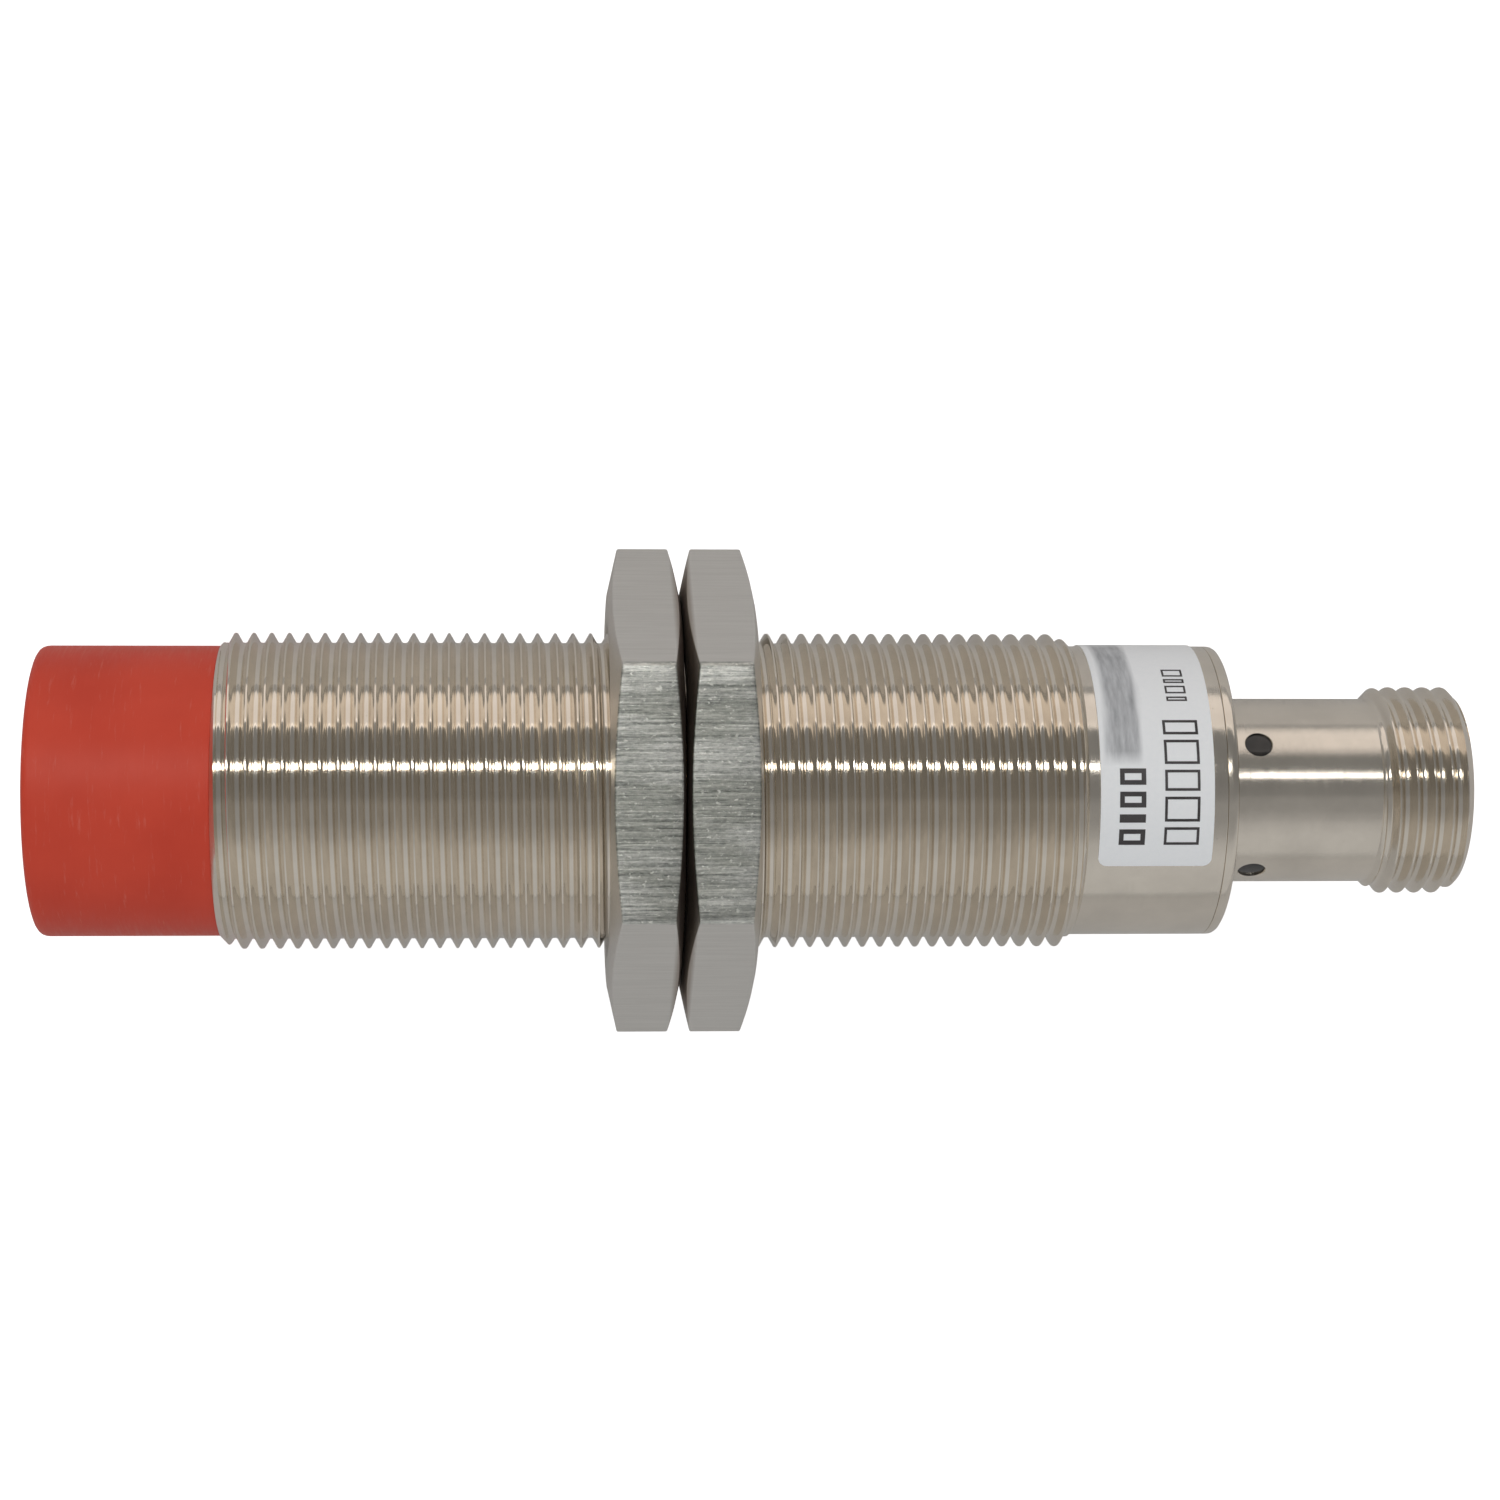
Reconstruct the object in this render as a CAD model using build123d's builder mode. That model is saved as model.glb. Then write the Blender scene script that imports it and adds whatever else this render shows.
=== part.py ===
from build123d import *
from math import cos, radians, sin, tan
import os

# Cylindrical inductive proximity sensor, millimetres.
# The axis is X. The sensing face is at X = 0 and the connector end is at +X.
# Z is up, and two opposite flats of each nut face up and down.

os.makedirs("parts", exist_ok=True)

# ---- driving dimensions ----
cap_radius = 8.2
cap_length = 10.2
cap_edge_round = 0.6
cap_face_thickness = 0.9
cap_bore_radius = 6.95
cap_skirt_radius = 7.72
cap_skirt_end = 16.3

pitch = 1.0
thread_depth = 0.56
crest_flat = 0.125
flank_angle = 30.0
barrel_crest_radius = 8.94
barrel_start = cap_length
thread_end = 58.2
smooth_radius = 8.25
barrel_end = 65.9
barrel_bore_radius = 7.4
barrel_counterbore_radius = 7.75
barrel_counterbore_end = 16.4
barrel_face_radius = 8.3
thread_lead_in = 0.62
barrel_first_groove = 11.46
barrel_groove_count = 46

flange_end = 66.55
flange_round = 0.35
neck_radius = 5.25
neck_end = 75.3
plug_crest_radius = 5.925
overall_length = 80.4
plug_end_chamfer = 0.5
spigot_radius = 7.38
spigot_start = 61.0
bush_bore_radius = 5.27
shell_bore_radius = 4.5
shell_bore_end = 70.0
socket_radius = 4.3
plug_first_groove = 76.87
plug_groove_count = 3

window_x = 68.4
window_radius = 0.75
window_angles = (30, 120, 210, 300)
window_recess = 0.12
guide_inner_radius = 3.95
guide_outer_radius = 4.4
guide_start = 58.4
guide_end = 69.7

nut_across_flats = 23.9
nut_thickness = 4.0
nut_bore_radius = 9.02
nut_face_radius = 11.2
nut_chamfer_angle = 12.5
nut_edge_round = 0.35
nut_bore_chamfer = 0.45
nut_front_x = 31.9
nut_rear_x = 36.05

label_start = 58.8
label_end = 65.1
label_thickness = 0.08
label_from_angle = -29.5
label_to_angle = 150.0
label_corner = 0.5

core_start = 1.0
core_height = 4.2
core_radius = 6.9
core_ring_inner = 5.85
core_post_radius = 2.95
core_hole_radius = 1.55
core_floor = 1.3
core_slot_width = 2.6

bobbin_hub_inner = 3.05
bobbin_hub_outer = 3.4
bobbin_flange_radius = 5.72
bobbin_flange_thickness = 0.3
winding_radius = 5.4
winding_turn = 0.3
winding_ridge = 0.1

board_start = 6.4
board_end = 57.0
board_half_width = 6.0
board_thickness = 1.0
lead_hole_x = 8.0
lead_hole_y = 1.6
wire_hole_x = 54.6

pin_circle_radius = 2.5
pin_radius = 0.5
pin_tip_x = 79.4
pin_cup_start = 62.2
pin_cup_radius = 0.75
pin_cup_length = 2.4
carrier_face = 72.2
carrier_disc_start = 70.2
carrier_boss_start = 65.0
carrier_boss_radius = 3.88
carrier_disc_radius = 4.28
key_width = 1.4
key_height = 0.62
key_end = 79.2

wire_radius = 0.45
sleeve_outer_radius = 7.32
sleeve_inner_radius = 7.12
sleeve_start = 16.5
sleeve_end = 60.5

board_top = board_thickness / 2


def thread_rings(crest_radius, first_groove_x, groove_count):
    """Outline of a metric thread drawn as rings: the corners of each groove in turn."""
    root_radius = crest_radius - thread_depth
    half_crest = (pitch - crest_flat) / 2
    half_root = half_crest - thread_depth * tan(radians(flank_angle))
    corners = []
    for number in range(groove_count):
        groove_x = first_groove_x + number * pitch
        corners.append((groove_x - half_crest, crest_radius))
        corners.append((groove_x - half_root, root_radius))
        corners.append((groove_x + half_root, root_radius))
        corners.append((groove_x + half_crest, crest_radius))
    return corners


def ring_x(inner, outer, start_x, end_x):
    """Tube round the X axis, drawn as a closed rectangle and revolved."""
    with BuildPart() as tube:
        with BuildSketch(Plane.XY):
            with Locations((start_x, inner)):
                Rectangle(end_x - start_x, outer - inner, align=Align.MIN)
        revolve(axis=Axis.X)
    return tube.part


# ---- housing: threaded barrel with a smooth rear section ----
with BuildPart() as housing:
    with BuildSketch(Plane.XY):
        with BuildLine():
            Polyline(
                (barrel_start, barrel_counterbore_radius),
                (barrel_start, barrel_face_radius),
                (barrel_start + thread_lead_in, barrel_crest_radius),
                *thread_rings(barrel_crest_radius, barrel_first_groove, barrel_groove_count),
                (thread_end - thread_lead_in, barrel_crest_radius),
                (thread_end, smooth_radius),
                (barrel_end, smooth_radius),
                (barrel_end, barrel_bore_radius),
                (barrel_counterbore_end, barrel_bore_radius),
                (barrel_counterbore_end, barrel_counterbore_radius),
                close=True,
            )
        make_face()
    revolve(axis=Axis.X)
    rim = housing.faces().filter_by(Plane.YZ).sort_by(Axis.X)[-1]
    chamfer(rim.outer_wire().edges(), 0.12)
housing.part.label = "housing"
export_step(housing.part, "parts/housing.step")

# ---- front cap: closed cup with a skirt that fits inside the barrel ----
with BuildPart() as front_cap:
    with BuildSketch(Plane.XY):
        with BuildLine():
            Polyline(
                (0, 0),
                (0, cap_radius),
                (cap_length, cap_radius),
                (cap_length, cap_skirt_radius),
                (cap_skirt_end, cap_skirt_radius),
                (cap_skirt_end, cap_bore_radius),
                (cap_face_thickness, cap_bore_radius),
                (cap_face_thickness, 0),
                close=True,
            )
        make_face()
    revolve(axis=Axis.X)
    front_edge = front_cap.edges().filter_by(GeomType.CIRCLE).group_by(Axis.X)[0]
    fillet(front_edge, cap_edge_round)
    skirt_edge = front_cap.edges().filter_by(GeomType.CIRCLE).group_by(Axis.X)[-1]
    chamfer(skirt_edge.sort_by(SortBy.RADIUS)[-1], 0.25)
front_cap.part.label = "front_cap"
export_step(front_cap.part, "parts/front_cap.step")


def hex_nut(start_x):
    """Hexagon with both faces chamfered by a shallow cone, and a bore for the barrel."""
    corner_radius = nut_across_flats / 2 / cos(radians(30))
    reach = corner_radius + 1
    drop = (reach - nut_face_radius) * tan(radians(nut_chamfer_angle))
    end_x = start_x + nut_thickness
    with BuildPart() as nut:
        with BuildSketch(Plane.YZ.offset(start_x)):
            RegularPolygon(nut_across_flats / 2, 6, major_radius=False)
        extrude(amount=nut_thickness)
        fillet(nut.edges().filter_by(Axis.X), nut_edge_round)
        with BuildSketch(Plane.XY):
            with BuildLine():
                Polyline(
                    (start_x, nut_bore_radius + nut_bore_chamfer),
                    (start_x, nut_face_radius),
                    (start_x + drop, reach),
                    (end_x - drop, reach),
                    (end_x, nut_face_radius),
                    (end_x, nut_bore_radius + nut_bore_chamfer),
                    (end_x - nut_bore_chamfer, nut_bore_radius),
                    (start_x + nut_bore_chamfer, nut_bore_radius),
                    close=True,
                )
            make_face()
        revolve(axis=Axis.X, mode=Mode.INTERSECT)
    return nut.part


nut_front = hex_nut(nut_front_x)
nut_front.label = "nut_front"
export_step(nut_front, "parts/nut_front.step")

nut_rear = hex_nut(nut_rear_x)
nut_rear.label = "nut_rear"
export_step(nut_rear, "parts/nut_rear.step")

# ---- end bush: spigot with an O-ring groove, and the flange that closes the barrel ----
groove_floor = 6.55
groove_start = 62.6
groove_width = 1.3
with BuildPart() as end_bush:
    with BuildSketch(Plane.XY):
        with BuildLine():
            Polyline(
                (spigot_start, bush_bore_radius),
                (spigot_start, spigot_radius - 0.3),
                (spigot_start + 0.3, spigot_radius),
                (groove_start, spigot_radius),
                (groove_start, groove_floor),
                (groove_start + groove_width, groove_floor),
                (groove_start + groove_width, spigot_radius),
                (barrel_end, spigot_radius),
                (barrel_end, smooth_radius),
                (flange_end, smooth_radius),
                (flange_end, bush_bore_radius),
                close=True,
            )
        make_face()
    revolve(axis=Axis.X)
    flange_rims = end_bush.edges().filter_by(GeomType.CIRCLE)
    flange_rims = flange_rims.filter_by(lambda e: abs(e.radius - smooth_radius) < 0.01)
    fillet(flange_rims.sort_by(Axis.X)[-1], flange_round)
end_bush.part.label = "end_bush"
export_step(end_bush.part, "parts/end_bush.step")

# ---- connector shell: tube held in the bush, with window holes and the M12 thread ----
with BuildPart() as connector_shell:
    with BuildSketch(Plane.XY):
        with BuildLine():
            Polyline(
                (spigot_start, shell_bore_radius),
                (spigot_start, neck_radius),
                (neck_end, neck_radius),
                (neck_end + plug_crest_radius - neck_radius, plug_crest_radius),
                *thread_rings(plug_crest_radius, plug_first_groove, plug_groove_count),
                (overall_length - plug_end_chamfer, plug_crest_radius),
                (overall_length, plug_crest_radius - plug_end_chamfer),
                (overall_length, socket_radius + 0.2),
                (overall_length - 0.2, socket_radius),
                (shell_bore_end, socket_radius),
                (shell_bore_end, shell_bore_radius),
                close=True,
            )
        make_face()
    revolve(axis=Axis.X)
    for angle in window_angles:
        outward = (0, sin(radians(angle)), cos(radians(angle)))
        with BuildSketch(Plane(origin=(window_x, 0, 0), x_dir=(1, 0, 0), z_dir=outward)):
            Circle(window_radius)
        extrude(amount=neck_radius + 1, mode=Mode.SUBTRACT)
connector_shell.part.label = "connector_shell"
export_step(connector_shell.part, "parts/connector_shell.step")

# ---- light guide: clear ring with four ends that fill the window holes ----
with BuildPart() as light_guide:
    for angle in window_angles:
        outward = (0, sin(radians(angle)), cos(radians(angle)))
        with BuildSketch(Plane(origin=(window_x, 0, 0), x_dir=(1, 0, 0), z_dir=outward)):
            Circle(window_radius - 0.02)
        extrude(amount=neck_radius + 1)
    add(ring_x(0, neck_radius - window_recess, guide_start, guide_end), mode=Mode.INTERSECT)
    add(ring_x(guide_inner_radius, guide_outer_radius, guide_start, guide_end))
    add(ring_x(0, guide_inner_radius, guide_start, guide_end), mode=Mode.SUBTRACT)
light_guide.part.label = "light_guide"
export_step(light_guide.part, "parts/light_guide.step")

# ---- label: thin curved sheet wrapped part of the way round the smooth section ----
with BuildPart() as label:
    normal = (0, -cos(radians(label_from_angle)), sin(radians(label_from_angle)))
    with BuildSketch(Plane(origin=(0, 0, 0), x_dir=(1, 0, 0), z_dir=normal)):
        with Locations((label_start, smooth_radius)):
            Rectangle(label_end - label_start, label_thickness, align=Align.MIN)
    revolve(axis=Axis.X, revolution_arc=-(label_to_angle - label_from_angle))
    corner_edges = label.edges().filter_by(lambda e: e.length < label_thickness * 1.5)
    fillet(corner_edges, label_corner)
label.part.label = "label"
export_step(label.part, "parts/label.step")

# ---- pot core, open towards the sensing face ----
core_end = core_start + core_height
with BuildPart() as ferrite_core:
    add(ring_x(core_hole_radius, core_radius, core_start, core_end))
    add(
        ring_x(core_post_radius, core_ring_inner, core_start, core_end - core_floor),
        mode=Mode.SUBTRACT,
    )
    with BuildSketch(Plane.YZ.offset(core_start - 0.5)):
        for side in (-1, 1):
            with Locations((side * core_radius, 0)):
                Rectangle(2 * (core_radius - core_post_radius - 0.9), core_slot_width)
    extrude(amount=core_height + 1, mode=Mode.SUBTRACT)
ferrite_core.part.label = "ferrite_core"
export_step(ferrite_core.part, "parts/ferrite_core.step")

# ---- bobbin: hub and two flanges ----
bobbin_start = core_start + 0.08
bobbin_end = core_end - core_floor - 0.05
with BuildPart() as coil_bobbin:
    add(ring_x(bobbin_hub_inner, bobbin_hub_outer, bobbin_start, bobbin_end))
    for flange_x in (bobbin_start, bobbin_end - bobbin_flange_thickness):
        add(
            ring_x(
                bobbin_hub_inner,
                bobbin_flange_radius,
                flange_x,
                flange_x + bobbin_flange_thickness,
            )
        )
coil_bobbin.part.label = "coil_bobbin"
export_step(coil_bobbin.part, "parts/coil_bobbin.step")

# ---- winding: the outermost layer of turns stands out as ridges ----
winding_start = bobbin_start + bobbin_flange_thickness + 0.02
winding_end = bobbin_end - bobbin_flange_thickness - 0.02
turn_count = int((winding_end - winding_start) / winding_turn)
turn_width = (winding_end - winding_start) / turn_count
turn_corners = []
for turn in range(turn_count):
    turn_x = winding_start + turn * turn_width
    turn_corners.append((turn_x, winding_radius - winding_ridge))
    turn_corners.append((turn_x + turn_width * 0.25, winding_radius))
    turn_corners.append((turn_x + turn_width * 0.75, winding_radius))
with BuildPart() as coil_winding:
    with BuildSketch(Plane.XY):
        with BuildLine():
            Polyline(
                (winding_start, bobbin_hub_outer + 0.02),
                *turn_corners,
                (winding_end, winding_radius - winding_ridge),
                (winding_end, bobbin_hub_outer + 0.02),
                close=True,
            )
        make_face()
    revolve(axis=Axis.X)
coil_winding.part.label = "coil_winding"
export_step(coil_winding.part, "parts/coil_winding.step")


def coil_lead(side):
    """Enamelled wire from the winding, out through the core's slot, to the board."""
    with BuildPart() as lead:
        with BuildLine() as path:
            Spline(
                (winding_end - 0.45, side * (winding_radius + 0.14), 0),
                (core_end - 1.0, side * 5.95, 0.25),
                (core_end + 0.3, side * 5.2, 0.9),
                (lead_hole_x - 0.9, side * 2.6, board_top + 0.75),
                (lead_hole_x, side * lead_hole_y, board_top + 0.05),
                tangents=((1, 0, 0), (0, 0, -1)),
            )
        with BuildSketch(Plane(origin=path.line @ 0, z_dir=path.line % 0)):
            Circle(0.11)
        sweep(path=path.line)
    return lead.part


for lead_name, side in (("coil_lead_start", -1), ("coil_lead_end", 1)):
    lead_part = coil_lead(side)
    lead_part.label = lead_name
    export_step(lead_part, f"parts/{lead_name}.step")

# ---- circuit board ----
pad_offset = pin_circle_radius * cos(radians(45))
board_mid = (board_start + board_end) / 2
board_length = board_end - board_start
with BuildPart() as circuit_board:
    with BuildSketch(Plane.XY.offset(-board_top)) as outline:
        with Locations((board_mid, 0)):
            Rectangle(board_length, 2 * board_half_width)
        fillet(outline.vertices(), 0.8)
        for side in (-1, 1):
            with Locations((lead_hole_x, side * lead_hole_y)):
                Circle(0.3, mode=Mode.SUBTRACT)
            with Locations((wire_hole_x, side * (pad_offset + 1.4))):
                Circle(0.5, mode=Mode.SUBTRACT)
            with Locations((board_start + 14, side * board_half_width)):
                Circle(0.9, mode=Mode.SUBTRACT)
    extrude(amount=board_thickness)
circuit_board.part.label = "circuit_board"
export_step(circuit_board.part, "parts/circuit_board.step")


def gull_wing_chip(centre_x, centre_y, length, width, height, pins_per_side, lead_pitch):
    """Moulded chip body with gull-wing leads along both long sides, on top of the board."""
    foot = 0.9
    with BuildPart() as chip:
        with BuildSketch(Plane.XY.offset(board_top + 0.12)):
            with Locations((centre_x, centre_y)):
                Rectangle(length, width)
        extrude(amount=height, taper=4)
        with BuildSketch(Plane.XY.offset(board_top + 0.12 + height)):
            with Locations((centre_x - length / 2 + 0.75, centre_y - width / 2 + 0.75)):
                Circle(0.25)
        extrude(amount=-0.08, mode=Mode.SUBTRACT)
        for number in range(pins_per_side):
            lead_x = centre_x + (number - (pins_per_side - 1) / 2) * lead_pitch
            for side in (-1, 1):
                edge_y = centre_y + side * (width / 2 - 0.15)
                knee_y = edge_y + side * 0.5
                toe_y = edge_y + side * foot
                with BuildSketch(Plane.YZ.offset(lead_x - 0.2)):
                    with BuildLine():
                        Polyline(
                            (edge_y, board_top + 0.12 + height * 0.55),
                            (knee_y, board_top + 0.12 + height * 0.55),
                            (knee_y + side * 0.12, board_top + 0.18),
                            (toe_y, board_top + 0.18),
                            (toe_y, board_top + 0.02),
                            (knee_y, board_top + 0.02),
                            (knee_y - side * 0.12, board_top + 0.12 + height * 0.4),
                            (edge_y, board_top + 0.12 + height * 0.4),
                            close=True,
                        )
                    make_face()
                extrude(amount=0.4)
    return chip.part


oscillator_chip = gull_wing_chip(15.5, 0.6, 4.9, 3.9, 1.35, 4, 1.27)
oscillator_chip.label = "oscillator_chip"
export_step(oscillator_chip, "parts/oscillator_chip.step")

comparator_chip = gull_wing_chip(26.0, -0.6, 4.9, 3.9, 1.35, 4, 1.27)
comparator_chip.label = "comparator_chip"
export_step(comparator_chip, "parts/comparator_chip.step")

voltage_regulator = gull_wing_chip(44.0, 1.2, 4.5, 2.5, 1.4, 3, 1.5)
voltage_regulator.label = "voltage_regulator"
export_step(voltage_regulator, "parts/voltage_regulator.step")

# ---- output transistor: power package with a metal tab, under the board ----
transistor_x = 36.0
with BuildPart() as output_transistor:
    with BuildSketch(Plane.XY.offset(-board_top - 0.02)):
        with Locations((transistor_x, 0)):
            Rectangle(6.5, 6.0)
    extrude(amount=-2.3, taper=3)
    with BuildSketch(Plane.XY.offset(-board_top - 0.02)):
        with Locations((transistor_x, 3.6)):
            Rectangle(5.3, 1.6)
        for lead_number in (-1, 1):
            with Locations((transistor_x + lead_number * 2.3, -4.0)):
                Rectangle(0.8, 2.2)
    extrude(amount=-0.5)
output_transistor.part.label = "output_transistor"
export_step(output_transistor.part, "parts/output_transistor.step")


def block_parts(centres, length, width, height, end_band, up):
    """Small rectangular board parts whose two end caps stand a little proud."""
    direction = 1 if up else -1
    base_z = direction * (board_top + 0.02)
    with BuildPart() as blocks:
        for centre_x, centre_y in centres:
            with BuildSketch(Plane.XY.offset(base_z + direction * 0.03)):
                with Locations((centre_x, centre_y)):
                    Rectangle(length - 0.1, width - 0.06)
            extrude(amount=direction * (height - 0.06))
            with BuildSketch(Plane.XY.offset(base_z)):
                for side in (-1, 1):
                    with Locations((centre_x + side * (length - end_band) / 2, centre_y)):
                        Rectangle(end_band, width)
            extrude(amount=direction * height)
    return blocks.part


resistor_centres = [(20.4, -4.6 + 1.35 * i) for i in range(4)]
resistor_centres += [(31.0, -4.2 + 1.4 * i) for i in range(6)]
smd_resistors = block_parts(resistor_centres, 1.6, 0.8, 0.45, 0.3, True)
smd_resistors.label = "smd_resistors"
export_step(smd_resistors, "parts/smd_resistors.step")

capacitor_centres = [(10.9, -3.6 + 1.8 * i) for i in range(5)]
capacitor_centres += [(40.2, -2.4 + 1.8 * i) for i in range(4)]
smd_capacitors = block_parts(capacitor_centres, 1.6, 0.8, 0.8, 0.3, True)
smd_capacitors.label = "smd_capacitors"
export_step(smd_capacitors, "parts/smd_capacitors.step")

tantalum_capacitor = block_parts([(35.6, 2.4)], 6.0, 3.2, 2.5, 0.7, True)
tantalum_capacitor.label = "tantalum_capacitor"
export_step(tantalum_capacitor, "parts/tantalum_capacitor.step")

diode_centres = [(45.5, -2.2), (45.5, 2.2)]
protection_diodes = block_parts(diode_centres, 4.6, 2.6, 2.1, 0.6, False)
protection_diodes.label = "protection_diodes"
export_step(protection_diodes, "parts/protection_diodes.step")

# ---- status LEDs: two side-view packages facing the light guide's ring ----
guide_mid_radius = (guide_inner_radius + guide_outer_radius) / 2
with BuildPart() as status_leds:
    for side in (-1, 1):
        with BuildSketch(Plane.XY.offset(board_top + 0.02)):
            with Locations((board_end - 0.8, side * guide_mid_radius)):
                Rectangle(1.2, 2.0)
        extrude(amount=1.0)
        with BuildSketch(Plane.YZ.offset(board_end - 0.2)):
            with Locations((side * guide_mid_radius, board_top + 0.55)):
                Circle(0.4)
        extrude(amount=0.15)
status_leds.part.label = "status_leds"
export_step(status_leds.part, "parts/status_leds.step")


def hookup_wire(side_y, side_z):
    """Insulated wire from the board's end to one pin's solder cup."""
    with BuildPart() as wire:
        with BuildLine() as path:
            Spline(
                (wire_hole_x - 0.8, side_y * (pad_offset + 0.9), side_z * (board_top + 0.5)),
                (wire_hole_x + 1.4, side_y * (pad_offset + 0.8), side_z * (board_top + 0.52)),
                (59.4, side_y * (pad_offset + 0.1), side_z * 1.55),
                (pin_cup_start - 0.15, side_y * pad_offset, side_z * pad_offset),
                tangents=((1, 0, 0), (1, 0, 0)),
            )
        with BuildSketch(Plane(origin=path.line @ 0, z_dir=path.line % 0)):
            Circle(wire_radius)
        sweep(path=path.line)
    return wire.part


wire_places = {
    "hookup_wire_brown": (1, 1),
    "hookup_wire_white": (-1, 1),
    "hookup_wire_blue": (-1, -1),
    "hookup_wire_black": (1, -1),
}
wire_parts = []
for wire_name, (side_y, side_z) in wire_places.items():
    wire_part = hookup_wire(side_y, side_z)
    wire_part.label = wire_name
    export_step(wire_part, f"parts/{wire_name}.step")
    wire_parts.append(wire_part)

# ---- insulating sleeve between the board and the barrel ----
insulating_sleeve = ring_x(sleeve_inner_radius, sleeve_outer_radius, sleeve_start, sleeve_end)
insulating_sleeve.label = "insulating_sleeve"
export_step(insulating_sleeve, "parts/insulating_sleeve.step")

# ---- potting: fills the cap behind the core and the barrel round the board ----
potting_end = 58.2
with BuildPart() as potting_compound:
    add(ring_x(0, cap_bore_radius - 0.02, core_end + 0.02, cap_skirt_end))
    add(ring_x(0, sleeve_inner_radius - 0.02, cap_skirt_end + 0.25, potting_end))
    add(ring_x(0, cap_bore_radius - 0.02, cap_skirt_end, cap_skirt_end + 0.25))
    for buried in [
        circuit_board.part,
        oscillator_chip,
        comparator_chip,
        voltage_regulator,
        output_transistor.part,
        smd_resistors,
        smd_capacitors,
        tantalum_capacitor,
        protection_diodes,
        status_leds.part,
        coil_lead(-1),
        coil_lead(1),
    ] + wire_parts:
        add(buried, mode=Mode.SUBTRACT)
potting_compound.part.label = "potting_compound"
export_step(potting_compound.part, "parts/potting_compound.step")

# ---- pin carrier ----
carrier_groove_start = 70.75
with BuildPart() as pin_carrier:
    with BuildSketch(Plane.XY):
        with BuildLine():
            Polyline(
                (carrier_boss_start, 0),
                (carrier_boss_start, carrier_boss_radius),
                (carrier_disc_start, carrier_boss_radius),
                (carrier_disc_start, carrier_disc_radius),
                (carrier_groove_start, carrier_disc_radius),
                (carrier_groove_start, 3.7),
                (carrier_groove_start + 0.8, 3.7),
                (carrier_groove_start + 0.8, carrier_disc_radius),
                (carrier_face, carrier_disc_radius),
                (carrier_face, 0),
                close=True,
            )
        make_face()
    revolve(axis=Axis.X)
    with BuildSketch(Plane.YZ.offset(carrier_boss_start - 1)):
        with PolarLocations(pin_circle_radius, 4, start_angle=45):
            Circle(pin_radius + 0.01)
    extrude(amount=carrier_face - carrier_boss_start + 2, mode=Mode.SUBTRACT)
pin_carrier.part.label = "pin_carrier"
export_step(pin_carrier.part, "parts/pin_carrier.step")

# ---- coding key: the rib on the carrier's face that lets the cable plug in one way only ----
with BuildPart() as coding_key:
    with BuildSketch(Plane.YZ.offset(carrier_face)):
        Circle(carrier_disc_radius)
        Circle(carrier_disc_radius - key_height, mode=Mode.SUBTRACT)
        with Locations((0, carrier_disc_radius)):
            Rectangle(key_width, 2 * carrier_disc_radius, mode=Mode.INTERSECT)
    extrude(amount=key_end - carrier_face)
coding_key.part.label = "coding_key"
export_step(coding_key.part, "parts/coding_key.step")


def contact_pin(angle):
    """Turned pin: solder cup behind the carrier, round pin with a domed tip in front."""
    centre_y = pin_circle_radius * cos(radians(angle))
    centre_z = pin_circle_radius * sin(radians(angle))
    cup_end = pin_cup_start + pin_cup_length
    with BuildPart() as pin:
        with BuildSketch(Plane.YZ.offset(pin_cup_start)):
            with Locations((centre_y, centre_z)):
                Circle(pin_cup_radius)
        extrude(amount=pin_cup_length)
        with BuildSketch(Plane.YZ.offset(cup_end)):
            with Locations((centre_y, centre_z)):
                Circle(pin_radius)
        extrude(amount=pin_tip_x - cup_end)
        tip = pin.edges().filter_by(GeomType.CIRCLE).sort_by(Axis.X)[-1]
        fillet(tip, pin_radius * 0.8)
        with BuildSketch(Plane.YZ.offset(pin_cup_start)):
            with Locations((centre_y, centre_z)):
                Circle(wire_radius + 0.05)
        extrude(amount=pin_cup_length - 0.8, mode=Mode.SUBTRACT)
    return pin.part


for number, angle in enumerate((45, 135, 225, 315), start=1):
    pin_part = contact_pin(angle)
    pin_part.label = f"contact_pin_{number}"
    export_step(pin_part, f"parts/contact_pin_{number}.step")


def o_ring(centre_x, centre_radius, section_radius):
    """Seal ring, drawn at the size it has once fitted."""
    with BuildPart() as seal:
        with BuildSketch(Plane.XY):
            with Locations((centre_x, centre_radius)):
                Circle(section_radius)
        revolve(axis=Axis.X)
    return seal.part


shell_o_ring = o_ring(groove_start + groove_width / 2, 6.97, 0.4)
shell_o_ring.label = "shell_o_ring"
export_step(shell_o_ring, "parts/shell_o_ring.step")

carrier_o_ring = o_ring(carrier_groove_start + 0.4, 4.0, 0.28)
carrier_o_ring.label = "carrier_o_ring"
export_step(carrier_o_ring, "parts/carrier_o_ring.step")
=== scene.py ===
import math

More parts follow.
